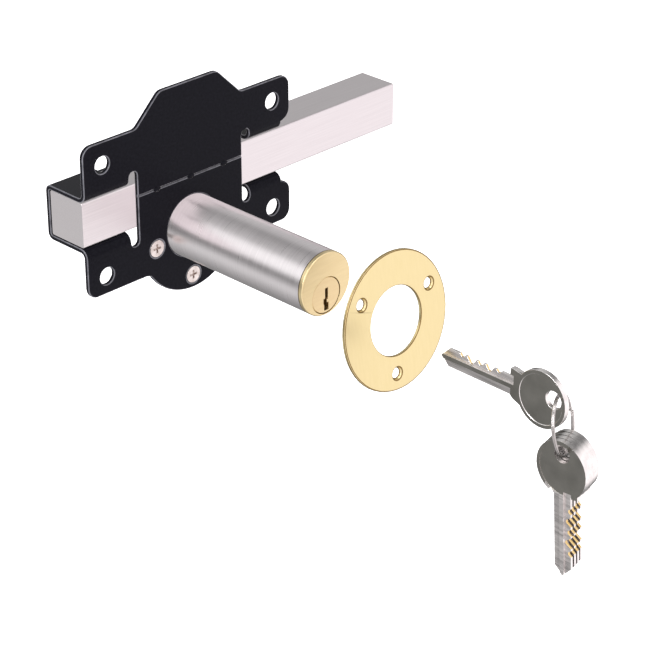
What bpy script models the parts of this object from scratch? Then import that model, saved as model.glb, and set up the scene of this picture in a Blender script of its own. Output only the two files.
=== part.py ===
"""Long-throw gate lock: a square bolt in a pressed bracket, driven from a key cylinder by two gears and a rack.

The origin is the centre of the four fixing holes on the bracket's front face. The bolt runs along +X, the
key cylinder points along -Y, and +Z is up. Sizes are in metres.
"""

import math

import bmesh
import bpy
from mathutils import Matrix, Vector

MM = 0.001
GAP = 0.3 * MM

# Bolt
BOLT_SIDE = 20 * MM
BOLT_LENGTH = 184.3 * MM
BOLT_TAIL_X = -57.5 * MM
BOLT_CLEARANCE = 0.4 * MM
BOLT_EDGE = 0.5 * MM

# Bracket
SHEET = 2.0 * MM
BRACKET_HALF_LENGTH = 58 * MM
FLANGE_TOP = 35 * MM
FLANGE_BOTTOM = -33 * MM
CORNER = 5.0 * MM
SHIELD_HALF_WIDTH = 29.5 * MM
NOTCH_WIDTH = 4.5 * MM
NOTCH_TOP = 17 * MM
HUMP_TOP = 48 * MM
HUMP_HALF_WIDTH = 19 * MM
HUMP_SHOULDER = 28 * MM
LOBE_RADIUS = 28 * MM
LOBE_DROP = 1.5 * MM
BEND_OUTER = 4 * MM
BACK_BEND_INNER = 1 * MM
WALL_SHORT_X = 53 * MM
HOLE_X = 47.75 * MM
HOLE_Z = 25 * MM
HOLE_RADIUS = 3.8 * MM
SEAM_Z = 5.2 * MM
SEAM_WIDTH = 0.4 * MM
SEAM_DEPTH = 0.5 * MM
WELD_X = 19 * MM
WELD_LENGTH = 3.5 * MM

# Countersunk screws that hold the gear case, placed from the lobe's centre
CASE_SCREW_HEAD = 3.9 * MM
CASE_SCREW_SHANK = 1.75 * MM
CASE_SCREW_CONE = 1.9 * MM
CASE_SCREW_LENGTH = 7 * MM
CASE_SCREW_SINK = 0.05 * MM
CROSS_ARM = 2.0 * MM
CROSS_HALF_WIDTH = 0.45 * MM
CROSS_DEPTH = 1.2 * MM
CASE_SCREWS = {
    "case_screw_left": (-20 * MM, -3 * MM),
    "case_screw_right": (20 * MM, -3 * MM),
    "case_screw_bottom": (0, -22 * MM),
}

# Gear train: rack in the bolt, idler, drive gear on the cylinder's tailpiece
MODULE = 1.0 * MM
DRIVE_TEETH = 11
IDLER_TEETH = 8
ADDENDUM = 0.85 * MM
DEDENDUM = 1.2 * MM
BACKLASH = 0.4 * MM
ROOT_SPREAD = 1.35
TIP_SPREAD = 0.42
GEAR_FRONT = 8.4 * MM
GEAR_WIDTH = 6 * MM
RACK_PITCH_DEPTH = 1.0 * MM
RACK_TEETH = 28
RACK_START_TOOTH = -3
RACK_FLANK = math.radians(22)
PIN_RADIUS = 1.5 * MM
STUB_RADIUS = 3 * MM

# Gear case
CASE_FLANGE_RADIUS = 26 * MM
CASE_DRUM_RADIUS = 15.4 * MM
CASE_SHEET = 1.5 * MM
CASE_DEPTH = 18 * MM
CASE_DROP = 1 * MM
CASE_BOLT_GAP = 0.6 * MM

# Key cylinder
TUBE_RADIUS = 13.9 * MM
TUBE_WALL = 1.2 * MM
TUBE_LENGTH = 80 * MM
FACE_THICKNESS = 2 * MM
BODY_LENGTH = 37 * MM
PLUG_RADIUS = 6.6 * MM
PLUG_HEAD_RADIUS = 7.9 * MM
PLUG_HEAD_LENGTH = 1.5 * MM
PLUG_DROP = 5 * MM
PLUG_CLEARANCE = 0.2 * MM
TAIL_RADIUS = 5.0 * MM
TAIL_LENGTH = 3.2 * MM
RECESS_DEPTH = 0.6 * MM
TAILPIECE_WIDTH = 5 * MM
TAILPIECE_THICKNESS = 2 * MM
FIXING_SCREW_X = 9.4 * MM
FIXING_SCREW_RISE = 2 * MM
FIXING_SCREW_RADIUS = 1.5 * MM
FIXING_SCREW_HEAD = 2.6 * MM
PIN_COUNT = 5
PIN_PITCH = 4.6 * MM
FIRST_PIN = 6.5 * MM
CHAMBER_RADIUS = 1.5 * MM
CAP_HALF_WIDTH = 1.7 * MM
CAP_THICKNESS = 1.0 * MM
CAP_SINK = 0.5 * MM
DRIVER_PIN_LENGTH = 3.4 * MM
SPRING_WIRE = 0.2 * MM
SPRING_TURNS = 5

# Keys
KEY_THICKNESS = 2.4 * MM
BLADE_HEIGHT = 7.7 * MM
BLADE_DROP = 2.65 * MM
BLADE_LENGTH = 35.2 * MM
KEYWAY_CLEARANCE = 0.25 * MM
TOP_BAND = (-0.3 * MM, 0.8 * MM)
MIDDLE_BAND = (-1.2 * MM, 0.2 * MM)
BOTTOM_BAND = (-0.8 * MM, 1.2 * MM)
BAND_HALF = 1.0 * MM
KEYWAY_HEADROOM = 2.0 * MM
BOW_RADIUS = 12 * MM
KEY_HOLE_RADIUS = 3.75 * MM
KEY_TIP_Y = -143.8 * MM
STOP_HEIGHT = 4 * MM
KEY_REACH = 50.2 * MM
KEY_HOLE = (-6.0 * MM, 2.0 * MM)
CUT_DEPTHS = (1.1 * MM, 2.2 * MM, 1.5 * MM, 2.6 * MM, 1.3 * MM)

# Escutcheon ring
ESCUTCHEON_RADIUS = 29 * MM
ESCUTCHEON_HOLE = 14.4 * MM
ESCUTCHEON_THICKNESS = 1.5 * MM
ESCUTCHEON_Y = -118.1 * MM
ESCUTCHEON_RISE = 2.5 * MM
ESCUTCHEON_TILT = math.radians(-8)
ESCUTCHEON_SCREW_CIRCLE = 22 * MM
ESCUTCHEON_SCREW_ANGLES = (24.5, 144.5, 264.5)
ESCUTCHEON_SCREW_RADIUS = 2.1 * MM

# Key ring and the keys that hang on it
RING_RADIUS = 11.8 * MM
RING_WIRE = 1.0 * MM
RING_X = 0.9 * MM
RING_Y = -203.6 * MM
RING_DROP = 10.5 * MM
RING_NORMAL = (0.40, -0.896, 0.20)
HANGING_BOW_Y = -207 * MM
HANGING_DROP = 27 * MM
HANGING_HOLE = (-6.7 * MM, 0.4 * MM)
HANGING_TURN = -94.0
HANGING_REACH = 46.0 * MM
HANGING_SHIFT = 0.5
HANGING_X = (-2 * MM, 0.6 * MM, 3.2 * MM, 5.8 * MM)

# Places that follow from the sizes above
BOLT_FRONT = SHEET + BOLT_CLEARANCE
BOLT_BACK = BOLT_FRONT + BOLT_SIDE
HALF_BOLT = BOLT_SIDE / 2
CHANNEL = HALF_BOLT + BOLT_CLEARANCE
BACK_WALL = BOLT_BACK + BOLT_CLEARANCE
RACK_Z = -HALF_BOLT + RACK_PITCH_DEPTH
IDLER_Z = RACK_Z - IDLER_TEETH * MODULE / 2
PLUG_Z = IDLER_Z - (IDLER_TEETH + DRIVE_TEETH) * MODULE / 2
TUBE_Z = PLUG_Z + PLUG_DROP
LOBE_Z = TUBE_Z - LOBE_DROP
FIXING_SCREW_Z = TUBE_Z + FIXING_SCREW_RISE
BLADE_Z = PLUG_Z - BLADE_DROP
ESCUTCHEON_CENTRE = (0, ESCUTCHEON_Y, PLUG_Z + ESCUTCHEON_RISE)
RING_CENTRE = (RING_X, RING_Y, PLUG_Z - RING_DROP)
HANGING_BOW = (HANGING_BOW_Y, PLUG_Z - HANGING_DROP)


def material(name, colour, roughness, metallic):
    made = bpy.data.materials.new(name)
    made.use_nodes = True
    shader = made.node_tree.nodes["Principled BSDF"]
    shader.inputs["Base Color"].default_value = (*colour, 1)
    shader.inputs["Roughness"].default_value = roughness
    shader.inputs["Metallic"].default_value = metallic
    return made


def finish(bm, name, look, origin=(0, 0, 0)):
    """Turns a bmesh in world coordinates into an object whose origin is at the given point."""
    bmesh.ops.recalc_face_normals(bm, faces=bm.faces)
    bmesh.ops.translate(bm, vec=-Vector(origin), verts=bm.verts)
    mesh = bpy.data.meshes.new(name)
    bm.to_mesh(mesh)
    bm.free()
    made = bpy.data.objects.new(name, mesh)
    made.location = origin
    bpy.context.scene.collection.objects.link(made)
    if look:
        mesh.materials.append(look)
        mesh.shade_smooth()
        mesh.set_sharp_from_angle(angle=math.radians(32))
    return made


def prism(bm, outline, low, high, along="Y"):
    """Adds a closed outline, (x, z) along Y or (y, z) along X, drawn out between two places."""
    if along == "Y":
        corners = [bm.verts.new((a, low, b)) for a, b in outline]
        way = Vector((0, high - low, 0))
    else:
        corners = [bm.verts.new((low, a, b)) for a, b in outline]
        way = Vector((high - low, 0, 0))
    face = bm.faces.new(corners)
    drawn = bmesh.ops.extrude_face_region(bm, geom=[face], use_keep_orig=True)
    moved = [item for item in drawn["geom"] if isinstance(item, bmesh.types.BMVert)]
    bmesh.ops.translate(bm, vec=way, verts=moved)


def box(bm, low, high):
    outline = [(low[0], low[2]), (high[0], low[2]), (high[0], high[2]), (low[0], high[2])]
    prism(bm, outline, low[1], high[1])


def turned(bm, profile, x, z, sides, closed=False):
    """Spins a profile of (radius, y) points about a line along Y through (x, z)."""
    points = [bm.verts.new((x + radius, y, z)) for radius, y in profile]
    pairs = list(zip(points, points[1:]))
    if closed:
        pairs.append((points[-1], points[0]))
    edges = [bm.edges.new(pair) for pair in pairs]
    bmesh.ops.spin(
        bm,
        geom=points + edges,
        cent=(x, 0, z),
        axis=(0, 1, 0),
        angle=2 * math.pi,
        steps=sides,
        use_merge=True,
    )
    bmesh.ops.remove_doubles(bm, verts=bm.verts, dist=0.001 * MM)


def round_bar(bm, radius, low, high, x, z, sides=24):
    turned(bm, [(0, low), (radius, low), (radius, high), (0, high)], x, z, sides)


def arc(cx, cy, radius, start, end, steps):
    """Points on an arc, with angles in degrees."""
    angles = [math.radians(start + (end - start) * i / steps) for i in range(steps + 1)]
    return [(cx + radius * math.cos(a), cy + radius * math.sin(a)) for a in angles]


def boolean(made, other, operation="DIFFERENCE"):
    other.hide_render = True
    other.display_type = "WIRE"
    modifier = made.modifiers.new(other.name, "BOOLEAN")
    modifier.operation = operation
    modifier.solver = "EXACT"
    modifier.object = other


def cutter(name, build):
    bm = bmesh.new()
    build(bm)
    return finish(bm, name, None)


def mirrored(points):
    """Closes an outline whose right half is given from top to bottom."""
    return points + [(-a, b) for a, b in reversed(points) if a > 0.01 * MM]


def plate_outline():
    """The bracket's front face: domed shield, two flanges each side, and a round lower lobe."""
    half = BRACKET_HALF_LENGTH
    lobe_x = HUMP_SHOULDER - 5 * MM
    lobe_angle = math.degrees(math.atan2(FLANGE_BOTTOM - LOBE_Z, lobe_x))
    right = [(0, HUMP_TOP)]
    right += arc(HUMP_HALF_WIDTH - CORNER, HUMP_TOP - CORNER, CORNER, 90, 40, 5)
    right += arc(HUMP_SHOULDER + 3 * MM, FLANGE_TOP + 4 * MM, 4 * MM, 220, 270, 4)
    right += arc(half - CORNER, FLANGE_TOP - CORNER, CORNER, 90, 0, 6)
    right += arc(half - CORNER, FLANGE_BOTTOM + CORNER, CORNER, 0, -90, 6)
    right += [(lobe_x + 3 * MM, FLANGE_BOTTOM)]
    right += arc(0, LOBE_Z, LOBE_RADIUS, lobe_angle, -90, 12)
    return mirrored(right)


def hat_profile():
    """Half of the hat section, as (y, z): flange, wall and back, with round bends."""
    inner = BEND_OUTER - SHEET
    bend_z = CHANNEL + BEND_OUTER
    back_outer = BACK_BEND_INNER + SHEET
    back_y = BACK_WALL - BACK_BEND_INNER
    back_z = CHANNEL - BACK_BEND_INNER
    front = [(0, bend_z + 1 * MM)] + arc(BEND_OUTER, bend_z, BEND_OUTER, 180, 270, 5)
    front += arc(back_y, back_z, BACK_BEND_INNER, 90, 0, 3)
    upper = front + [(BACK_WALL, 0), (BACK_WALL + SHEET, 0)]
    upper += arc(back_y, back_z, back_outer, 0, 90, 4)
    upper += arc(BEND_OUTER, bend_z, inner, 270, 180, 4)
    return upper + [(SHEET, bend_z + 1 * MM)]


def case_screw_places():
    return [(x, LOBE_Z + rise) for x, rise in CASE_SCREWS.values()]


def make_bracket(look):
    wall_x = SHIELD_HALF_WIDTH + NOTCH_WIDTH
    bm = bmesh.new()
    prism(bm, plate_outline(), 0, SHEET)
    bracket = finish(bm, "bracket", look)
    bend_z = CHANNEL + BEND_OUTER

    def windows(bm):
        for side in (-1, 1):
            centre = side * (SHIELD_HALF_WIDTH + NOTCH_WIDTH / 2)
            radius = NOTCH_WIDTH / 2
            far = side * (BRACKET_HALF_LENGTH + 5 * MM)
            notch = arc(centre, NOTCH_TOP - radius, radius, 180, 0, 6)
            if side < 0:
                notch.reverse()
            notch.append((side * wall_x, bend_z))
            if side > 0:
                notch += arc(WALL_SHORT_X, bend_z + CORNER, CORNER, -90, 0, 5)
                notch.append((far, bend_z + CORNER))
            else:
                notch.append((far, bend_z))
            below = [(a, -b) for a, b in reversed(notch)]
            prism(bm, notch + below, -5 * MM, 5 * MM)

    boolean(bracket, cutter("cut_windows", windows))
    for side, end in ((-1, BRACKET_HALF_LENGTH), (1, WALL_SHORT_X)):
        for half in (1, -1):
            profile = [(y, half * z) for y, z in hat_profile()]
            low, high = sorted((side * wall_x, side * end))

            def wall(bm, profile=profile, low=low, high=high):
                prism(bm, profile, low, high, "X")

            boolean(bracket, cutter(f"channel_{side}_{half}", wall), "UNION")

    def strap(bm):
        reach = CHANNEL - BACK_BEND_INNER
        low = (-wall_x - 1 * MM, BACK_WALL, -reach)
        box(bm, low, (wall_x + 1 * MM, BACK_WALL + SHEET, reach))

    boolean(bracket, cutter("back_strap", strap), "UNION")

    def round_holes(bm):
        for x in (-HOLE_X, HOLE_X):
            for z in (-HOLE_Z, HOLE_Z):
                round_bar(bm, HOLE_RADIUS, -5 * MM, 5 * MM, x, z)
        for x, z in case_screw_places():
            wide = CASE_SCREW_HEAD + GAP
            thin = CASE_SCREW_SHANK + GAP
            profile = [
                (0, -MM),
                (wide, -MM),
                (wide, 0),
                (thin, CASE_SCREW_CONE),
                (thin, 4 * MM),
                (0, 4 * MM),
            ]
            turned(bm, profile, x, z, 20)
        for x in (-FIXING_SCREW_X, FIXING_SCREW_X):
            round_bar(bm, FIXING_SCREW_RADIUS + GAP, 0.1 * MM, 5 * MM, x, FIXING_SCREW_Z, 16)
        round_bar(bm, TAILPIECE_WIDTH / 2 + 1.5 * MM, 0.1 * MM, 5 * MM, 0, PLUG_Z, 24)

    boolean(bracket, cutter("cut_holes", round_holes))

    def sleeve_seat(bm):
        round_bar(bm, TUBE_RADIUS + 0.2 * MM, -MM, RECESS_DEPTH, 0, TUBE_Z, 48)

    boolean(bracket, cutter("cut_seat", sleeve_seat))

    def seam(bm):
        stops = [-SHIELD_HALF_WIDTH - MM, -WELD_X, 0, WELD_X, SHIELD_HALF_WIDTH + MM]
        for index, (start, stop) in enumerate(zip(stops, stops[1:])):
            start += WELD_LENGTH / 2 if index > 0 else 0
            stop -= WELD_LENGTH / 2 if index < 3 else 0
            low = (start, -MM, SEAM_Z - SEAM_WIDTH / 2)
            box(bm, low, (stop, SEAM_DEPTH, SEAM_Z + SEAM_WIDTH / 2))

    boolean(bracket, cutter("cut_seam", seam))


def make_gear_case(look):
    """Pressed cap behind the shield: a flat flange, and a drum round the gears, cut flat under the bolt."""
    front = SHEET + GAP
    flange = front + CASE_SHEET
    outer = CASE_DRUM_RADIUS
    inner = outer - CASE_SHEET
    deep = CASE_DEPTH
    bm = bmesh.new()
    profile = [
        (inner, front),
        (CASE_FLANGE_RADIUS, front),
        (CASE_FLANGE_RADIUS, flange),
        (outer + 1 * MM, flange),
        (outer, flange + 1 * MM),
        (outer, deep - 1 * MM),
        (outer - 1 * MM, deep),
        (0, deep),
        (0, deep - CASE_SHEET),
        (inner, deep - CASE_SHEET),
    ]
    turned(bm, profile, 0, LOBE_Z - CASE_DROP, 40, closed=True)
    case = finish(bm, "gear_case", look)

    def top(bm):
        box(bm, (-40 * MM, 0, -HALF_BOLT - CASE_BOLT_GAP), (40 * MM, 30 * MM, 30 * MM))

    def holes(bm):
        for x, z in case_screw_places():
            round_bar(bm, CASE_SCREW_SHANK + GAP, 0, 6 * MM, x, z, 16)
        round_bar(bm, PIN_RADIUS + GAP, deep - 4 * MM, deep + MM, 0, IDLER_Z, 16)
        round_bar(bm, STUB_RADIUS + GAP, deep - 4 * MM, deep + MM, 0, PLUG_Z, 20)

    boolean(case, cutter("cut_case_top", top))
    boolean(case, cutter("cut_case_holes", holes))


def cross_cut(x, z, top):
    """The cutter for a screw's cross-head recess: a straight-sided cross, drawn into the head."""

    def build(bm):
        half = CROSS_HALF_WIDTH
        points = []
        for turn in range(4):
            c = math.cos(turn * math.pi / 2)
            s = math.sin(turn * math.pi / 2)
            for a, b in ((CROSS_ARM, -half), (CROSS_ARM, half), (half, half)):
                points.append((x + a * c - b * s, z + a * s + b * c))
        prism(bm, points, top - MM, top + CROSS_DEPTH)

    return build


def make_case_screws(look):
    for name, (x, z) in zip(CASE_SCREWS, case_screw_places()):
        top = CASE_SCREW_SINK
        bm = bmesh.new()
        profile = [
            (0, top),
            (CASE_SCREW_HEAD - top, top),
            (CASE_SCREW_SHANK, CASE_SCREW_CONE),
            (CASE_SCREW_SHANK, CASE_SCREW_LENGTH),
            (0, CASE_SCREW_LENGTH),
        ]
        turned(bm, profile, x, z, 20)
        screw = finish(bm, name, look)
        boolean(screw, cutter("cross_" + name, cross_cut(x, z, top)))


def gear_outline(teeth, x, z, first):
    """Outline of a spur gear whose first tooth points at an angle in degrees; flanks taper outwards."""
    pitch = teeth * MODULE / 2
    half = math.pi / (2 * teeth) - BACKLASH / (2 * pitch)
    root = pitch - DEDENDUM
    tip = pitch + ADDENDUM
    rising = [(root, ROOT_SPREAD), (pitch, 1.0), (tip, TIP_SPREAD)]
    flanks = rising + [(radius, -spread) for radius, spread in reversed(rising)]
    points = []
    for tooth in range(teeth):
        centre = math.radians(first) + 2 * math.pi * tooth / teeth
        for radius, spread in flanks:
            angle = centre - half * spread
            points.append((x + radius * math.cos(angle), z + radius * math.sin(angle)))
    return points


def make_gears(steel, brass):
    back = GEAR_FRONT + GEAR_WIDTH
    bm = bmesh.new()
    prism(bm, gear_outline(DRIVE_TEETH, 0, PLUG_Z, 90 + 180 / DRIVE_TEETH), GEAR_FRONT, back)
    drive = finish(bm, "drive_gear", brass, (0, GEAR_FRONT, PLUG_Z))

    def stub(bm):
        round_bar(bm, STUB_RADIUS, back - MM, CASE_DEPTH - 0.2 * MM, 0, PLUG_Z, 20)

    def slot(bm):
        half = TAILPIECE_WIDTH / 2 + GAP
        thin = TAILPIECE_THICKNESS / 2 + GAP
        box(bm, (-half, 0, PLUG_Z - thin), (half, back - MM, PLUG_Z + thin))

    boolean(drive, cutter("drive_stub", stub), "UNION")
    boolean(drive, cutter("cut_drive_slot", slot))
    bm = bmesh.new()
    prism(bm, gear_outline(IDLER_TEETH, 0, IDLER_Z, 90), GEAR_FRONT, back)
    idler = finish(bm, "idler_gear", brass, (0, GEAR_FRONT, IDLER_Z))

    def bore(bm):
        round_bar(bm, PIN_RADIUS + GAP, 0, 30 * MM, 0, IDLER_Z, 20)

    boolean(idler, cutter("cut_idler_bore", bore))
    bm = bmesh.new()
    round_bar(bm, PIN_RADIUS, SHEET + GAP, CASE_DEPTH, 0, IDLER_Z, 20)
    finish(bm, "idler_pin", steel)
    bm = bmesh.new()
    half = TAILPIECE_WIDTH / 2
    thin = TAILPIECE_THICKNESS / 2
    low = (-half, -TUBE_LENGTH + BODY_LENGTH + 0.5 * MM, PLUG_Z - thin)
    box(bm, low, (half, back - 1.5 * MM, PLUG_Z + thin))
    finish(bm, "tailpiece", steel, (0, 0, PLUG_Z))


def make_bolt(look):
    end = BOLT_TAIL_X + BOLT_LENGTH
    edge = BOLT_EDGE
    bm = bmesh.new()
    low = BOLT_FRONT
    high = BOLT_BACK
    h = HALF_BOLT
    lower = [(low + edge, -h), (high - edge, -h), (high, -h + edge)]
    upper = [(high, h - edge), (high - edge, h), (low + edge, h)]
    section = lower + upper + [(low, h - edge), (low, -h + edge)]
    prism(bm, section, BOLT_TAIL_X, end, "X")
    bolt = finish(bm, "bolt", look, (0, low + h, 0))

    def rack(bm):
        """The gaps of the rack, joined just below the tips of its teeth."""
        pitch = math.pi * MODULE
        gap = pitch / 4 + BACKLASH / 2
        root = RACK_Z + DEDENDUM
        tip = RACK_Z - ADDENDUM
        below = -h - 0.6 * MM
        slope = math.tan(RACK_FLANK)
        start = (RACK_START_TOOTH - 0.5) * pitch
        points = [(start, below)]
        for tooth in range(RACK_START_TOOTH, RACK_START_TOOTH + RACK_TEETH):
            x = tooth * pitch
            points.append((x - gap - slope * ADDENDUM, tip))
            points.append((x - gap + slope * DEDENDUM, root))
            points.append((x + gap - slope * DEDENDUM, root))
            points.append((x + gap + slope * ADDENDUM, tip))
        points.append((start + RACK_TEETH * pitch, below))
        prism(bm, points, GEAR_FRONT - GAP, GEAR_FRONT + GEAR_WIDTH + GAP)

    boolean(bolt, cutter("cut_rack", rack))


def keyway_outline(z):
    """The stepped outline of the keyway, as (x, z): the blade's three bands and a clearance."""
    half = BLADE_HEIGHT / 2
    gap = KEYWAY_CLEARANCE
    low = -BAND_HALF
    high = BAND_HALF
    return [
        (BOTTOM_BAND[0] - gap, z - half - gap),
        (BOTTOM_BAND[1] + gap, z - half - gap),
        (BOTTOM_BAND[1] + gap, z + low + gap),
        (MIDDLE_BAND[1] + gap, z + low + gap),
        (MIDDLE_BAND[1] + gap, z + high - gap),
        (TOP_BAND[1] + gap, z + high - gap),
        (TOP_BAND[1] + gap, z + half + KEYWAY_HEADROOM),
        (TOP_BAND[0] - gap, z + half + KEYWAY_HEADROOM),
        (TOP_BAND[0] - gap, z + high + gap),
        (MIDDLE_BAND[0] - gap, z + high + gap),
        (MIDDLE_BAND[0] - gap, z + low - gap),
        (BOTTOM_BAND[0] - gap, z + low - gap),
    ]


def pin_places():
    return [-TUBE_LENGTH + FIRST_PIN + PIN_PITCH * i for i in range(PIN_COUNT)]


def make_cylinder(steel, brass, plug_brass):
    face = -TUBE_LENGTH
    back = face + BODY_LENGTH
    inner = TUBE_RADIUS - TUBE_WALL
    bm = bmesh.new()
    sleeve_start = face + FACE_THICKNESS + GAP
    sleeve_end = RECESS_DEPTH - GAP
    ring = [
        (inner, sleeve_start),
        (TUBE_RADIUS, sleeve_start),
        (TUBE_RADIUS, sleeve_end),
        (inner, sleeve_end),
    ]
    turned(bm, ring, 0, TUBE_Z, 56, closed=True)
    finish(bm, "cylinder_sleeve", steel)
    bm = bmesh.new()
    core = inner - GAP
    profile = [
        (0, face),
        (TUBE_RADIUS - 0.4 * MM, face),
        (TUBE_RADIUS, face + 0.4 * MM),
        (TUBE_RADIUS, face + FACE_THICKNESS),
        (core, face + FACE_THICKNESS),
        (core, back),
        (0, back),
    ]
    turned(bm, profile, 0, TUBE_Z, 56)
    body = finish(bm, "cylinder_body", brass)

    def plug_bore(bm):
        narrow = PLUG_RADIUS + PLUG_CLEARANCE
        wide = PLUG_HEAD_RADIUS + PLUG_CLEARANCE
        step = face + PLUG_HEAD_LENGTH + GAP
        profile = [
            (0, face - MM),
            (wide, face - MM),
            (wide, step),
            (narrow, step),
            (narrow, back + MM),
            (0, back + MM),
        ]
        turned(bm, profile, 0, PLUG_Z, 40)

    def screw_bores(bm):
        for x in (-FIXING_SCREW_X, FIXING_SCREW_X):
            round_bar(bm, FIXING_SCREW_RADIUS + GAP, back - 10 * MM, back + MM, x, FIXING_SCREW_Z, 16)

    def chambers(bm):
        for y in pin_places():
            bmesh.ops.create_cone(
                bm,
                cap_ends=True,
                segments=16,
                radius1=CHAMBER_RADIUS,
                radius2=CHAMBER_RADIUS,
                depth=20 * MM,
                matrix=Matrix.Translation((0, y, PLUG_Z + PLUG_RADIUS + 6 * MM)),
            )

    chamber_cutter = cutter("cut_chambers", chambers)
    boolean(body, cutter("cut_plug_bore", plug_bore))
    boolean(body, cutter("cut_screw_bores", screw_bores))
    boolean(body, chamber_cutter)

    cap_top = TUBE_Z + core - CAP_SINK
    cap_first = pin_places()[0] - CHAMBER_RADIUS - 0.4 * MM
    cap_last = pin_places()[-1] + CHAMBER_RADIUS + 0.4 * MM

    def cap_slot(bm):
        half = CAP_HALF_WIDTH + GAP
        low = (-half, cap_first - GAP, cap_top - CAP_THICKNESS - GAP)
        box(bm, low, (half, cap_last + GAP, TUBE_Z + core + MM))

    boolean(body, cutter("cut_cap_slot", cap_slot))
    bm = bmesh.new()
    low = (-CAP_HALF_WIDTH, cap_first, cap_top - CAP_THICKNESS)
    box(bm, low, (CAP_HALF_WIDTH, cap_last, cap_top))
    finish(bm, "chamber_cap", brass)

    bm = bmesh.new()
    tail = back + 0.3 * MM
    profile = [
        (0, face + 0.1 * MM),
        (PLUG_HEAD_RADIUS - 0.3 * MM, face + 0.1 * MM),
        (PLUG_HEAD_RADIUS, face + 0.4 * MM),
        (PLUG_HEAD_RADIUS, face + PLUG_HEAD_LENGTH),
        (PLUG_RADIUS, face + PLUG_HEAD_LENGTH),
        (PLUG_RADIUS, tail),
        (TAIL_RADIUS - 0.8 * MM, tail),
        (TAIL_RADIUS - 0.8 * MM, tail + 1.6 * MM),
        (TAIL_RADIUS, tail + 1.6 * MM),
        (TAIL_RADIUS, tail + TAIL_LENGTH),
        (0, tail + TAIL_LENGTH),
    ]
    turned(bm, profile, 0, PLUG_Z, 40)
    plug = finish(bm, "plug", plug_brass, (0, 0, PLUG_Z))

    def keyway(bm):
        prism(bm, keyway_outline(BLADE_Z), face - MM, back - 1.5 * MM)

    def tail_slot(bm):
        half = TAILPIECE_WIDTH / 2 + GAP
        thin = TAILPIECE_THICKNESS / 2 + GAP
        box(bm, (-half, back + 0.2 * MM, PLUG_Z - thin), (half, back + 9 * MM, PLUG_Z + thin))

    def plug_chambers(bm):
        for y in pin_places():
            bmesh.ops.create_cone(
                bm,
                cap_ends=True,
                segments=16,
                radius1=CHAMBER_RADIUS,
                radius2=CHAMBER_RADIUS,
                depth=10 * MM,
                matrix=Matrix.Translation((0, y, BLADE_Z + BLADE_HEIGHT / 2 + 5.3 * MM)),
            )

    boolean(plug, cutter("cut_keyway", keyway))
    boolean(plug, cutter("cut_tail_slot", tail_slot))
    boolean(plug, cutter("cut_plug_chambers", plug_chambers))

    bm = bmesh.new()
    clip = tail + 0.3 * MM
    inner_clip = TAIL_RADIUS - 0.5 * MM
    outer_clip = PLUG_RADIUS + 0.6 * MM
    outline = arc(0, PLUG_Z, outer_clip, -60, 240, 20) + arc(0, PLUG_Z, inner_clip, 240, -60, 16)
    prism(bm, outline, clip, clip + 0.9 * MM)
    finish(bm, "plug_clip", steel, (0, 0, PLUG_Z))

    head = SHEET + GAP
    for side, x in (("left", -FIXING_SCREW_X), ("right", FIXING_SCREW_X)):
        bm = bmesh.new()
        profile = [
            (0, back - 8 * MM),
            (FIXING_SCREW_RADIUS, back - 8 * MM),
            (FIXING_SCREW_RADIUS, head),
            (FIXING_SCREW_HEAD, head),
            (FIXING_SCREW_HEAD, head + 1.8 * MM),
            (0, head + 1.8 * MM),
        ]
        turned(bm, profile, x, FIXING_SCREW_Z, 16)
        finish(bm, f"cylinder_fixing_screw_{side}", steel)


def make_pins(steel, brass):
    """One key pin, driver pin and spring to each chamber."""
    shear = PLUG_Z + PLUG_RADIUS
    radius = CHAMBER_RADIUS - 0.2 * MM
    cap = TUBE_Z + TUBE_RADIUS - TUBE_WALL - GAP - CAP_SINK - CAP_THICKNESS - GAP
    for number, y in enumerate(pin_places(), 1):
        bm = bmesh.new()
        low = BLADE_Z + BLADE_HEIGHT / 2 + 0.5 * MM
        place = Matrix.Translation((0, y, (low + shear - 0.2 * MM) / 2))
        depth = shear - 0.2 * MM - low
        bmesh.ops.create_cone(
            bm, cap_ends=True, segments=12, radius1=0.6 * MM, radius2=radius, depth=depth, matrix=place
        )
        finish(bm, f"key_pin_{number}", brass, (0, y, PLUG_Z))
        bm = bmesh.new()
        low = shear + 0.5 * MM
        high = low + DRIVER_PIN_LENGTH
        place = Matrix.Translation((0, y, (low + high) / 2))
        bmesh.ops.create_cone(
            bm, cap_ends=True, segments=12, radius1=radius, radius2=radius, depth=high - low, matrix=place
        )
        finish(bm, f"driver_pin_{number}", steel)
        low = high + GAP + SPRING_WIRE
        high = cap - GAP - SPRING_WIRE
        make_spring(f"pin_spring_{number}", steel, y, low, high)


def make_spring(name, look, y, low, high):
    curve = bpy.data.curves.new(name, "CURVE")
    curve.dimensions = "3D"
    curve.bevel_depth = SPRING_WIRE
    curve.bevel_resolution = 1
    curve.use_fill_caps = True
    count = SPRING_TURNS * 8 + 1
    spline = curve.splines.new("POLY")
    spline.points.add(count - 1)
    for i in range(count):
        angle = 2 * math.pi * i / 8
        rise = low + (high - low) * i / (count - 1)
        radius = CHAMBER_RADIUS - 0.6 * MM
        spline.points[i].co = (radius * math.cos(angle), y + radius * math.sin(angle), rise, 1)
    curve.materials.append(look)
    made = bpy.data.objects.new(name, curve)
    bpy.context.scene.collection.objects.link(made)


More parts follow.
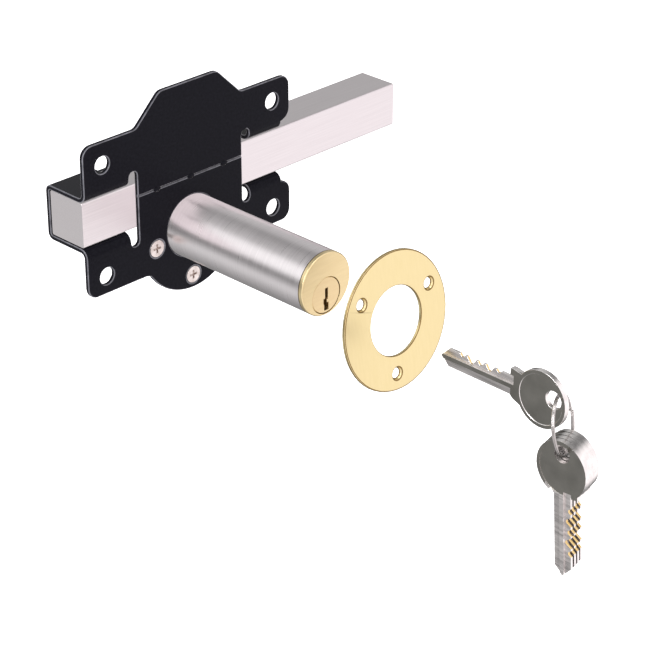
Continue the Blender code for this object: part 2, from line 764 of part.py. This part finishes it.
def make_escutcheon(look):
    half = ESCUTCHEON_THICKNESS / 2
    bm = bmesh.new()
    ring = [
        (ESCUTCHEON_HOLE, -half),
        (ESCUTCHEON_RADIUS - 0.3 * MM, -half),
        (ESCUTCHEON_RADIUS, -half + 0.3 * MM),
        (ESCUTCHEON_RADIUS, half),
        (ESCUTCHEON_HOLE, half),
    ]
    turned(bm, ring, 0, 0, 56, closed=True)
    place = Matrix.Translation(ESCUTCHEON_CENTRE) @ Matrix.Rotation(ESCUTCHEON_TILT, 4, "X")
    bmesh.ops.transform(bm, matrix=place, verts=bm.verts)
    ring = finish(bm, "escutcheon", look, ESCUTCHEON_CENTRE)

    def holes(bm):
        small = ESCUTCHEON_SCREW_RADIUS
        for angle in ESCUTCHEON_SCREW_ANGLES:
            x = ESCUTCHEON_SCREW_CIRCLE * math.cos(math.radians(angle))
            z = ESCUTCHEON_SCREW_CIRCLE * math.sin(math.radians(angle))
            profile = [
                (0, -half - MM),
                (small + half, -half - MM),
                (small + half, -half),
                (small, half - 0.4 * MM),
                (small, half + MM),
                (0, half + MM),
            ]
            turned(bm, profile, x, z, 20)
        bmesh.ops.transform(bm, matrix=place, verts=bm.verts)

    boolean(ring, cutter("cut_escutcheon_holes", holes))


def key_outline(reach):
    """Outline of a key as (along, across), from the bow's centre at the origin to the tip at +reach.

    The bitting is on the +across side.
    """
    half = BLADE_HEIGHT / 2
    shoulder = reach - BLADE_LENGTH
    points = arc(0, 0, BOW_RADIUS, 36, 328, 26)
    points += [(shoulder - 1.5 * MM, -half - 1.2 * MM), (shoulder, -half)]
    points += [(reach - 3.5 * MM, -half), (reach, 0.2 * MM), (reach - 3.6 * MM, half)]
    flat = 0.5 * MM
    for number in reversed(range(PIN_COUNT)):
        depth = CUT_DEPTHS[number]
        x = shoulder + FIRST_PIN + PIN_PITCH * number
        slope = depth * 0.7
        points.append((x + flat + slope, half))
        points.append((x + flat, half - depth))
        points.append((x - flat, half - depth))
        points.append((x - flat - slope, half))
    points += [(shoulder + 0.2 * MM, half), (shoulder, half + STOP_HEIGHT)]
    points.append((shoulder - 1.6 * MM, half + STOP_HEIGHT))
    return points


def make_key(name, look, x, bow, turn, reach, hole, origin):
    """A key in a plane of constant x. turn is the angle of its blade in degrees, from +Y towards +Z."""
    half = KEY_THICKNESS / 2
    shoulder = reach - BLADE_LENGTH
    flip = -1 if turn < -45 else 1
    place = (
        Matrix.Translation((x, bow[0], bow[1]))
        @ Matrix.Rotation(math.radians(turn), 4, "X")
        @ Matrix.Diagonal((1, 1, flip, 1))
    )
    bm = bmesh.new()
    prism(bm, key_outline(reach), -half, half, "X")
    bmesh.ops.transform(bm, matrix=place, verts=bm.verts)
    key = finish(bm, name, look, origin)

    def grooves(bm):
        start = shoulder - 1.5 * MM
        stop = reach + MM
        wide = half + MM
        high = BLADE_HEIGHT / 2 + MM
        band = BAND_HALF
        right = [(MIDDLE_BAND[1], -band), (wide, -band), (wide, high), (TOP_BAND[1], high)]
        right += [(TOP_BAND[1], band), (MIDDLE_BAND[1], band)]
        left = [(-wide, band), (TOP_BAND[0], band), (TOP_BAND[0], high), (-wide, high)]
        under = [(-wide, -high), (BOTTOM_BAND[0], -high), (BOTTOM_BAND[0], -band), (-wide, -band)]
        prism(bm, under, start + 1.5 * MM, stop)
        prism(bm, right, start, stop)
        prism(bm, left, start, stop)
        bmesh.ops.transform(bm, matrix=place, verts=bm.verts)

    def ring_hole(bm):
        outline = arc(hole[0], hole[1], KEY_HOLE_RADIUS, 0, 345, 23)
        prism(bm, outline, -half - MM, half + MM, "X")
        bmesh.ops.transform(bm, matrix=place, verts=bm.verts)

    boolean(key, cutter("grooves_" + name, grooves))
    boolean(key, cutter("hole_" + name, ring_hole))


def ring_crossing(x, upper):
    """Where the middle of the ring's wire crosses the plane of a key, as (y, z)."""
    normal = Vector(RING_NORMAL).normalized()
    chord = normal.cross(Vector((1, 0, 0))).normalized()
    across = chord.cross(normal)
    middle = Vector(RING_CENTRE) + across * (x - RING_CENTRE[0]) / across.x
    reach = math.sqrt(RING_RADIUS ** 2 - (middle - Vector(RING_CENTRE)).length_squared)
    ends = sorted((middle + chord * reach, middle - chord * reach), key=lambda end: end.z)
    end = ends[1] if upper else ends[0]
    return end.y, end.z


def make_keys(look, wire_look):
    bow_y = KEY_TIP_Y - KEY_REACH
    make_key("key_1", look, 0, (bow_y, BLADE_Z), 0, KEY_REACH, KEY_HOLE, (0, bow_y, BLADE_Z))
    for number, x in enumerate(HANGING_X, 2):
        pivot = ring_crossing(x, upper=False)
        shift = HANGING_SHIFT * (pivot[0] - ring_crossing(HANGING_X[0], upper=False)[0])
        bow = (HANGING_BOW[0] + shift, HANGING_BOW[1])
        make_key(f"key_{number}", look, x, bow, HANGING_TURN, HANGING_REACH, HANGING_HOLE, (x, *pivot))
    normal = Vector(RING_NORMAL).normalized()
    turn = normal.to_track_quat("Y", "Z").to_matrix().to_4x4()
    bm = bmesh.new()
    wire = arc(RING_RADIUS, 0, RING_WIRE, 0, 324, 9)
    turned(bm, wire, 0, 0, 40, closed=True)
    bmesh.ops.transform(bm, matrix=Matrix.Translation(RING_CENTRE) @ turn, verts=bm.verts)
    finish(bm, "key_ring", wire_look, (0, *ring_crossing(0, upper=True)))


for old in list(bpy.data.objects):
    bpy.data.objects.remove(old, do_unlink=True)

black = material("black_powder_coat", (0.012, 0.012, 0.013), 0.28, 0.0)
stainless = material("brushed_stainless", (0.62, 0.60, 0.60), 0.36, 1.0)
screw_steel = material("screw_steel", (0.66, 0.60, 0.57), 0.30, 1.0)
satin_brass = material("satin_brass", (0.83, 0.68, 0.38), 0.34, 1.0)
plug_brass = material("plug_brass", (0.80, 0.62, 0.36), 0.34, 1.0)
gear_brass = material("gear_brass", (0.72, 0.54, 0.26), 0.42, 1.0)
zinc = material("zinc_steel", (0.55, 0.56, 0.58), 0.40, 1.0)
key_nickel = material("key_nickel", (0.42, 0.41, 0.38), 0.30, 1.0)
ring_steel = material("ring_steel", (0.60, 0.58, 0.57), 0.22, 1.0)

make_bracket(black)
make_gear_case(black)
make_case_screws(screw_steel)
make_bolt(stainless)
make_gears(zinc, gear_brass)
make_cylinder(stainless, satin_brass, plug_brass)
make_pins(zinc, gear_brass)
make_escutcheon(satin_brass)
make_keys(key_nickel, ring_steel)
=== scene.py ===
"""Looks of a long-throw gate lock: coated bracket, brushed bolt and tube, brass cylinder, ring and keys."""

import math

import bmesh
import bpy
from mathutils import Matrix, Vector


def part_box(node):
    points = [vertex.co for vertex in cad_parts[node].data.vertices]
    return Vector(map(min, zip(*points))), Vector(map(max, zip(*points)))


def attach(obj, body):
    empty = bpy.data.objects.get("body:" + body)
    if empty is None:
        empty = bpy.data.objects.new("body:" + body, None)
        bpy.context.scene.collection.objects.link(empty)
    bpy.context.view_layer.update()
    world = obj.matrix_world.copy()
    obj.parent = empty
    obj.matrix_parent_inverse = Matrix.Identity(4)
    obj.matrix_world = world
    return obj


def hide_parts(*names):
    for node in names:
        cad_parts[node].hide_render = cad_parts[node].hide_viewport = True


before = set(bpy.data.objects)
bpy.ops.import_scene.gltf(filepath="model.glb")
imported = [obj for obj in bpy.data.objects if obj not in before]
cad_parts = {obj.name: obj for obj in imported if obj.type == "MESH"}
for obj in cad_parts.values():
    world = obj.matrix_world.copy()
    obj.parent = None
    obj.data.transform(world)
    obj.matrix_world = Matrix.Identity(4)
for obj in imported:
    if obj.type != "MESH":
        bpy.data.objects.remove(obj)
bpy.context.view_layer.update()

# Camera. A long lens about a metre away looks down at the lock from its left front.
scene = bpy.context.scene
scene.view_settings.view_transform = "Standard"
FORWARD = Vector((0.6294, 0.6239, -0.4633)).normalized()
camera_data = bpy.data.cameras.new("camera")
camera_data.lens = 131.72
camera_data.sensor_width = 36
camera_data.clip_end = 50
camera = bpy.data.objects.new("camera", camera_data)
camera.location = (-0.60575, -0.6783, 0.41015)
camera.rotation_euler = FORWARD.to_track_quat("-Z", "Y").to_euler()
scene.collection.objects.link(camera)
scene.camera = camera


# Soft panels. One hangs over the lock, and a stronger and longer one stands at its left, so that the bolt,
# the brass and the coated bends each catch a plain soft light.
def panel(name, place, size, power):
    """A soft rectangular light that faces the cylinder."""
    data = bpy.data.lights.new(name, "AREA")
    data.shape = "RECTANGLE"
    data.size, data.size_y = size
    data.energy = power
    lamp = bpy.data.objects.new(name, data)
    lamp.location = place
    lamp.visible_camera = False
    way = Vector((0, -0.05, 0)) - Vector(place)
    lamp.rotation_euler = way.to_track_quat("-Z", "Y").to_euler()
    scene.collection.objects.link(lamp)


panel("top_panel", (-0.1, -0.1, 0.9), (0.5, 0.3), 2.0)
panel("left_panel", (-0.75, -0.15, 0.5), (0.18, 0.7), 5.0)


# Room. It is bright in front of the lock. Behind, a wall changes from pale to dark and back with its height,
# and is half as bright on the right, so that brushed metal shows bands of light and dark along its length.
def span(tree, source, low, high, start, stop):
    """Maps a value from low..high to start..stop, and holds it outside."""
    made = tree.nodes.new("ShaderNodeMapRange")
    made.inputs["From Min"].default_value = low
    made.inputs["From Max"].default_value = high
    made.inputs["To Min"].default_value = start
    made.inputs["To Max"].default_value = stop
    tree.links.new(source, made.inputs["Value"])
    return made.outputs["Result"]


def ramp(tree, source, stops):
    """A colour ramp through (place, colour) stops."""
    made = tree.nodes.new("ShaderNodeValToRGB")
    first, last = made.color_ramp.elements
    first.position, first.color = stops[0][0], (*stops[0][1], 1)
    last.position, last.color = stops[-1][0], (*stops[-1][1], 1)
    for place, colour in stops[1:-1]:
        made.color_ramp.elements.new(place).color = (*colour, 1)
    tree.links.new(source, made.inputs["Fac"])
    return made.outputs["Color"]


def colour_mix(tree, factor):
    """A colour mix, as its A and B inputs and its result."""
    made = tree.nodes.new("ShaderNodeMix")
    made.data_type = "RGBA"
    tree.links.new(factor, made.inputs["Factor"])
    first, second = [socket for socket in made.inputs if socket.type == "RGBA"]
    result = [socket for socket in made.outputs if socket.type == "RGBA"][0]
    return first, second, result


WALL = [(0.10, 0.35), (0.22, 0.75), (0.30, 0.85), (0.42, 0.34), (0.50, 0.08), (0.56, 0.5)]
WALL += [(0.62, 1.25), (0.80, 1.2), (0.86, 0.22), (0.91, 0.45), (1.0, 0.55)]
FRONT_LIGHT = (1.34, 1.28, 1.30, 1)
world = bpy.data.worlds.new("studio")
world.use_nodes = True
scene.world = world
sky = world.node_tree
way = sky.nodes.new("ShaderNodeTexCoord")
parts = sky.nodes.new("ShaderNodeSeparateXYZ")
sky.links.new(way.outputs["Generated"], parts.inputs["Vector"])
height = span(sky, parts.outputs["Z"], -1, 1, 0, 1)
wall = ramp(sky, height, [(place, (value, value, value)) for place, value in WALL])
dark, lit, shaded_wall = colour_mix(sky, span(sky, parts.outputs["X"], -0.1, 0.35, 1, 0.5))
dark.default_value = (0, 0, 0, 1)
sky.links.new(wall, lit)
behind, ahead, room = colour_mix(sky, span(sky, parts.outputs["Y"], -0.1, -0.4, 0, 1))
sky.links.new(shaded_wall, behind)
ahead.default_value = FRONT_LIGHT
sky.links.new(room, sky.nodes["Background"].inputs["Color"])


# Backdrop. A plain white sweep of floor, far enough below that the lock throws no shadow on it.
def new_material(name, roughness, metallic):
    """A material with its node tree and its Principled shader."""
    made = bpy.data.materials.new(name)
    made.use_nodes = True
    tree = made.node_tree
    shader = tree.nodes["Principled BSDF"]
    shader.inputs["Roughness"].default_value = roughness
    shader.inputs["Metallic"].default_value = metallic
    return made, tree, shader


FLOOR_DROP = 0.5
FLOOR_HALF = 14
floor_look, _, shader = new_material("white_floor", 0.9, 0.0)
shader.inputs["Base Color"].default_value = (0.95, 0.95, 0.95, 1)
shader.inputs["Emission Color"].default_value = (1, 1, 1, 1)
shader.inputs["Emission Strength"].default_value = 1.0
bm = bmesh.new()
bmesh.ops.create_grid(bm, x_segments=2, y_segments=2, size=FLOOR_HALF)
bmesh.ops.translate(bm, vec=(0, 0, -FLOOR_DROP), verts=bm.verts)
floor_mesh = bpy.data.meshes.new("floor")
bm.to_mesh(floor_mesh)
bm.free()
floor_mesh.materials.append(floor_look)
floor = bpy.data.objects.new("floor", floor_mesh)
floor.visible_glossy = False
scene.collection.objects.link(floor)


# Bracket and gear case. Both are pressed from steel sheet, 2 mm and 1.5 mm thick, and coated in black powder,
# which keeps a faint orange-peel. Their rounded edges are painted a lighter grey as a painted highlight,
# standing in for the glint of light along them. They are hidden from the metal's reflections, so that the
# shield doesn't darken the tube.
def grain(tree, scale, stretch, detail=6.0):
    """Noise on Object coordinates, stretched along the brushing."""
    coords = tree.nodes.new("ShaderNodeTexCoord")
    mapping = tree.nodes.new("ShaderNodeMapping")
    mapping.inputs["Scale"].default_value = stretch
    noise = tree.nodes.new("ShaderNodeTexNoise")
    noise.inputs["Scale"].default_value = scale
    noise.inputs["Detail"].default_value = detail
    tree.links.new(coords.outputs["Object"], mapping.inputs["Vector"])
    tree.links.new(mapping.outputs["Vector"], noise.inputs["Vector"])
    return noise.outputs["Fac"]


def bump(tree, shader, source, strength):
    """Raises the surface by the source, over a relief of a twentieth of a millimetre."""
    made = tree.nodes.new("ShaderNodeBump")
    made.inputs["Strength"].default_value = strength
    made.inputs["Distance"].default_value = 0.05 * MM
    tree.links.new(source, made.inputs["Height"])
    tree.links.new(made.outputs["Normal"], shader.inputs["Normal"])


def softened(name, node, width, look, body, edge_look=None):
    """A copy of a solid with its seams merged and its edges rounded, which stands for it."""
    bm = bmesh.new()
    bm.from_mesh(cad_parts[node].data)
    bmesh.ops.remove_doubles(bm, verts=bm.verts, dist=0.002 * MM)
    bmesh.ops.dissolve_limit(bm, angle_limit=math.radians(1), verts=bm.verts, edges=bm.edges)
    mesh = bpy.data.meshes.new(name)
    bm.to_mesh(mesh)
    bm.free()
    mesh.materials.clear()
    mesh.materials.append(look)
    mesh.shade_smooth()
    mesh.set_sharp_from_angle(angle=SHARP_EDGE)
    piece = bpy.data.objects.new(name, mesh)
    scene.collection.objects.link(piece)
    if width:
        edge = piece.modifiers.new("rounded_edges", "BEVEL")
        edge.width = width
        edge.segments = 2
        edge.limit_method = "ANGLE"
        edge.angle_limit = SHARP_EDGE
        edge.harden_normals = True
        edge.use_clamp_overlap = False
        if edge_look:
            mesh.materials.append(edge_look)
            edge.material = 1
    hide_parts(node)
    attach(piece, body)
    return piece


MM = 0.001
SHARP_EDGE = math.radians(32)
BRACKET_EDGE = 0.4 * MM
CASE_EDGE = 0.3 * MM
coat, tree, shader = new_material("black_powder_coat", 0.25, 0.0)
peel = grain(tree, 900, (1, 1, 1), 3)
coat_tones = [(0.3, (0.003, 0.003, 0.005)), (0.7, (0.006, 0.006, 0.009))]
tree.links.new(ramp(tree, peel, coat_tones), shader.inputs["Base Color"])
shader.inputs["Specular IOR Level"].default_value = 0.05
bump(tree, shader, peel, 0.05)
# Painted highlight: the rounded edges take this lighter grey instead of the black coat, for the glint along
# them.
painted_edge_glint, tree, shader = new_material("black_coat_painted_edge_glint", 0.3, 0.0)
peel = grain(tree, 300, (1, 1, 1), 3)
edge_glint_tones = [(0.3, (0.05, 0.05, 0.06)), (0.7, (0.13, 0.13, 0.15))]
tree.links.new(ramp(tree, peel, edge_glint_tones), shader.inputs["Base Color"])
for name, width in (("bracket", BRACKET_EDGE), ("gear_case", CASE_EDGE)):
    shell = softened(f"{name}_shell", name, width, coat, "lock_case", painted_edge_glint)
    shell.visible_glossy = False

# Weld tacks. Three small beads of weld join the two halves of the shield along its seam, under the coat.
SEAM_HEIGHT = 5.2 * MM
WELD_SPACING = 19 * MM
WELD_SIZE = (2.0 * MM, 0.5 * MM, 1.1 * MM)
for number in (1, 2, 3):
    x = (number - 2) * WELD_SPACING
    bm = bmesh.new()
    bmesh.ops.create_uvsphere(bm, u_segments=20, v_segments=10, radius=1)
    place = Matrix.Translation((x, 0, SEAM_HEIGHT)) @ Matrix.Diagonal((*WELD_SIZE, 1))
    bmesh.ops.transform(bm, matrix=place, verts=bm.verts)
    mesh = bpy.data.meshes.new(f"weld_{number}")
    bm.to_mesh(mesh)
    bm.free()
    mesh.materials.append(coat)
    mesh.shade_smooth()
    bead = bpy.data.objects.new(f"weld_{number}", mesh)
    scene.collection.objects.link(bead)
    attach(bead, "lock_case")


# Case screws. Countersunk cross-head screws of pinkish plated steel hold the gear case, flush in the shield.
def brushed(name, dark, light, roughness, stretch, strength=0.12):
    """Brushed metal: fine stretched lines that change its colour, gloss and relief a little."""
    made, tree, shader = new_material(name, roughness, 1.0)
    lines = grain(tree, 1.0, stretch)
    tree.links.new(ramp(tree, lines, [(0.3, dark), (0.7, light)]), shader.inputs["Base Color"])
    gloss = span(tree, lines, 0, 1, roughness - 0.07, roughness + 0.07)
    tree.links.new(gloss, shader.inputs["Roughness"])
    bump(tree, shader, lines, strength)
    return made


SCREW_EDGE = 0.12 * MM
screw_look = brushed("screw_steel", (0.50, 0.44, 0.41), (0.80, 0.74, 0.71), 0.27, (300, 300, 300))
for name in ("case_screw_left", "case_screw_right", "case_screw_bottom"):
    softened(f"{name}_plated", name, SCREW_EDGE, screw_look, "lock_case")

# Bolt. A 20 mm square bar of stainless steel, drawn and brushed along its length. Its ends are sawn and
# linished.
BOLT_EDGE = 0.15 * MM
along_bolt = (30, 2500, 2500)
bolt_look = brushed("bolt_steel", (0.66, 0.62, 0.63), (0.73, 0.69, 0.70), 0.34, along_bolt, 0.08)
softened("bolt_bar", "bolt", BOLT_EDGE, bolt_look, "bolt")

# Cylinder sleeve. A stainless tube, turned and polished, so that its fine lines run round it.
round_sleeve = (60, 2500, 60)
sleeve_look = brushed("sleeve_steel", (0.74, 0.70, 0.71), (0.82, 0.78, 0.79), 0.30, round_sleeve, 0.05)
softened("sleeve_tube", "cylinder_sleeve", 0, sleeve_look, "lock_case")

# Cylinder body and plug. Both are turned brass with a satin face. The plug is a little redder, and turns in
# the body with a fine gap round its head.
FACE_EDGE = 0.12 * MM
PLUG_EDGE = 0.08 * MM
turned_face = (90, 90, 700)
face_look = brushed("face_brass", (0.74, 0.60, 0.34), (0.80, 0.66, 0.39), 0.36, turned_face)
plug_look = brushed("plug_brass", (0.72, 0.56, 0.32), (0.78, 0.63, 0.37), 0.36, turned_face)
softened("cylinder_face", "cylinder_body", FACE_EDGE, face_look, "lock_case")
softened("plug_turned", "plug", PLUG_EDGE, plug_look, "plug")

# Works. The gears, the chamber cap and the key pins are brass. The shafts, the driver pins, the springs and
# the inner screws are zinc-plated steel. They are hidden, but for a shaft's end and what shows in the keyway.
gear_look = brushed("gear_brass", (0.62, 0.45, 0.20), (0.76, 0.58, 0.30), 0.40, (500, 120, 500))
zinc_look = brushed("zinc_steel", (0.46, 0.47, 0.49), (0.62, 0.63, 0.66), 0.38, (200, 200, 600))
brass_works = ["drive_gear", "idler_gear", "chamber_cap"]
steel_works = ["cylinder_fixing_screw_left", "cylinder_fixing_screw_right"]
steel_works += ["idler_pin", "plug_clip", "tailpiece"]
for number in range(1, 6):
    brass_works.append(f"key_pin_{number}")
    steel_works += [f"driver_pin_{number}", f"pin_spring_{number}"]
for names, look in ((brass_works, gear_look), (steel_works, zinc_look)):
    for name in names:
        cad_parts[name].data.materials.clear()
        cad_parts[name].data.materials.append(look)

# Escutcheon. A ring of 1.5 mm brass sheet with three countersunk screw holes, satin on its face and darkened
# round its rims.
ESCUTCHEON_EDGE = 0.3 * MM
ring_look = brushed("ring_brass", (0.75, 0.63, 0.34), (0.78, 0.66, 0.37), 0.33, (900, 60, 120))
rim_look = brushed("ring_rim", (0.20, 0.12, 0.04), (0.30, 0.20, 0.08), 0.4, (200, 200, 200))
softened("escutcheon_ring", "escutcheon", ESCUTCHEON_EDGE, ring_look, "escutcheon", rim_look)

# Keys. Nickel-plated brass blanks with a stamped panel on each side of the bow. The cuts go through the
# plating to the brass. The blades carry a painted reflection, a lighter streaky colour than the bows, and the
# blanks' edges a painted highlight, lighter still.
BOW_RADIUS = 12 * MM
PANEL_RADIUS = 10.4 * MM
PANEL_DEPTH = 0.2 * MM
BLADE_HALF = 3.85 * MM
CUT_FLOOR = 1.1 * MM
CUT_MARGIN = 0.05 * MM
FIRST_CUT = 3 * MM
EDGE_GLINT_WIDTH = 0.18 * MM
SIDE_FACE = 0.3
BOW, CUT, EDGE, BLADE = range(4)
key_look = brushed("key_nickel", (0.16, 0.155, 0.14), (0.24, 0.23, 0.21), 0.30, (300, 90, 90))
# Painted reflection: the blade takes a lighter, streaky colour than the bow.
blade_painted_reflection = brushed("key_blade_painted_reflection", (0.40, 0.375, 0.37), (0.74, 0.70, 0.69), 0.28, (300, 60, 900))
# Painted highlight: the edges take a near-white colour.
key_edge_glint = brushed("key_painted_edge_glint", (0.72, 0.69, 0.68), (0.90, 0.87, 0.85), 0.25, (300, 300, 300))
cut_look = brushed("key_cut_brass", (0.74, 0.52, 0.20), (0.88, 0.68, 0.34), 0.30, (900, 200, 200))


def plated_key(number, bow, along, across, blade_start):
    """One key: panels sunk in both sides of its bow, painted light on its edges and blade, and bare brass in
    its cuts.
    """
    key = softened(f"key_{number}_plated", f"key_{number}", 0, key_look, f"key_{number}")
    low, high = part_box(f"key_{number}")
    bm = bmesh.new()
    for side in (low[0], high[0]):
        place = Matrix.Translation((side, bow[1], bow[2])) @ Matrix.Rotation(math.pi / 2, 4, "Y")
        bmesh.ops.create_cone(
            bm,
            cap_ends=True,
            segments=48,
            radius1=PANEL_RADIUS,
            radius2=PANEL_RADIUS,
            depth=2 * PANEL_DEPTH,
            matrix=place,
        )
    mesh = bpy.data.meshes.new("panels")
    bm.to_mesh(mesh)
    bm.free()
    panels = bpy.data.objects.new("panels", mesh)
    scene.collection.objects.link(panels)
    sunk = key.modifiers.new("panels", "BOOLEAN")
    sunk.object = panels
    bpy.context.view_layer.update()
    graph = bpy.context.evaluated_depsgraph_get()
    carved = bpy.data.meshes.new_from_object(key.evaluated_get(graph))
    key.modifiers.clear()
    key.data = carved
    bpy.data.objects.remove(panels)
    carved.materials.clear()
    for look in (key_look, cut_look, key_edge_glint, blade_painted_reflection):
        carved.materials.append(look)
    for face in carved.polygons:
        way = face.center - Vector(bow)
        reach = way.dot(along)
        in_cut = CUT_FLOOR < way.dot(across) < BLADE_HALF - CUT_MARGIN and reach > blade_start + FIRST_CUT
        if abs(face.normal.x) < SIDE_FACE:
            face.material_index = CUT if in_cut else EDGE
        else:
            face.material_index = BLADE if reach > blade_start else BOW
    carved.shade_smooth()
    carved.set_sharp_from_angle(angle=SHARP_EDGE)
    # The rounded edges carry the painted highlight.
    edge = key.modifiers.new("edge_glints", "BEVEL")
    edge.width = EDGE_GLINT_WIDTH
    edge.segments = 2
    edge.limit_method = "ANGLE"
    edge.angle_limit = math.radians(40)
    edge.material = EDGE


low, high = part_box("key_1")
bow = (0.0, low[1] + BOW_RADIUS, low[2] + BOW_RADIUS)
plated_key(1, bow, Vector((0, 1, 0)), Vector((0, 0, 1)), 15 * MM)
LEAN = math.radians(4)
down_blade = Vector((0, -math.sin(LEAN), -math.cos(LEAN)))
to_cuts = Vector((0, -math.cos(LEAN), math.sin(LEAN)))
for number in range(2, 6):
    low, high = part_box(f"key_{number}")
    bow = ((low[0] + high[0]) / 2, low[1] + BOW_RADIUS, high[2] - BOW_RADIUS)
    plated_key(number, bow, down_blade, to_cuts, 10.8 * MM)

# Key ring. Two turns of spring wire lie side by side, so that a fine line runs round it. The keys hang in it
# by the holes in their bows.
RING_RADIUS = 11.8 * MM
WIRE = 0.5 * MM
RING_NORMAL = Vector((0.40, -0.896, 0.20)).normalized()
TURNS = 2
STEPS = 144
wire_look = brushed("ring_steel", (0.38, 0.36, 0.35), (0.58, 0.55, 0.54), 0.22, (200, 200, 200))
low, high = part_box("key_ring")
centre = (Vector(low) + Vector(high)) / 2
bm = bmesh.new()
bmesh.ops.create_circle(bm, cap_ends=False, segments=12, radius=WIRE)
stand = Matrix.Translation((RING_RADIUS, 0, -WIRE)) @ Matrix.Rotation(math.pi / 2, 4, "X")
bmesh.ops.transform(bm, matrix=stand, verts=bm.verts)
bmesh.ops.spin(
    bm,
    geom=bm.verts[:] + bm.edges[:],
    cent=(0, 0, 0),
    axis=(0, 0, 1),
    dvec=(0, 0, 2 * WIRE / STEPS),
    angle=TURNS * 2 * math.pi,
    steps=STEPS,
)
bmesh.ops.holes_fill(bm, edges=[edge for edge in bm.edges if edge.is_boundary])
bmesh.ops.recalc_face_normals(bm, faces=bm.faces)
turn = RING_NORMAL.to_track_quat("Z", "Y").to_matrix().to_4x4()
bmesh.ops.transform(bm, matrix=Matrix.Translation(centre) @ turn, verts=bm.verts)
mesh = bpy.data.meshes.new("split_ring")
bm.to_mesh(mesh)
bm.free()
mesh.materials.append(wire_look)
mesh.shade_smooth()
split_ring = bpy.data.objects.new("split_ring", mesh)
scene.collection.objects.link(split_ring)
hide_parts("key_ring")
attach(split_ring, "key_ring")
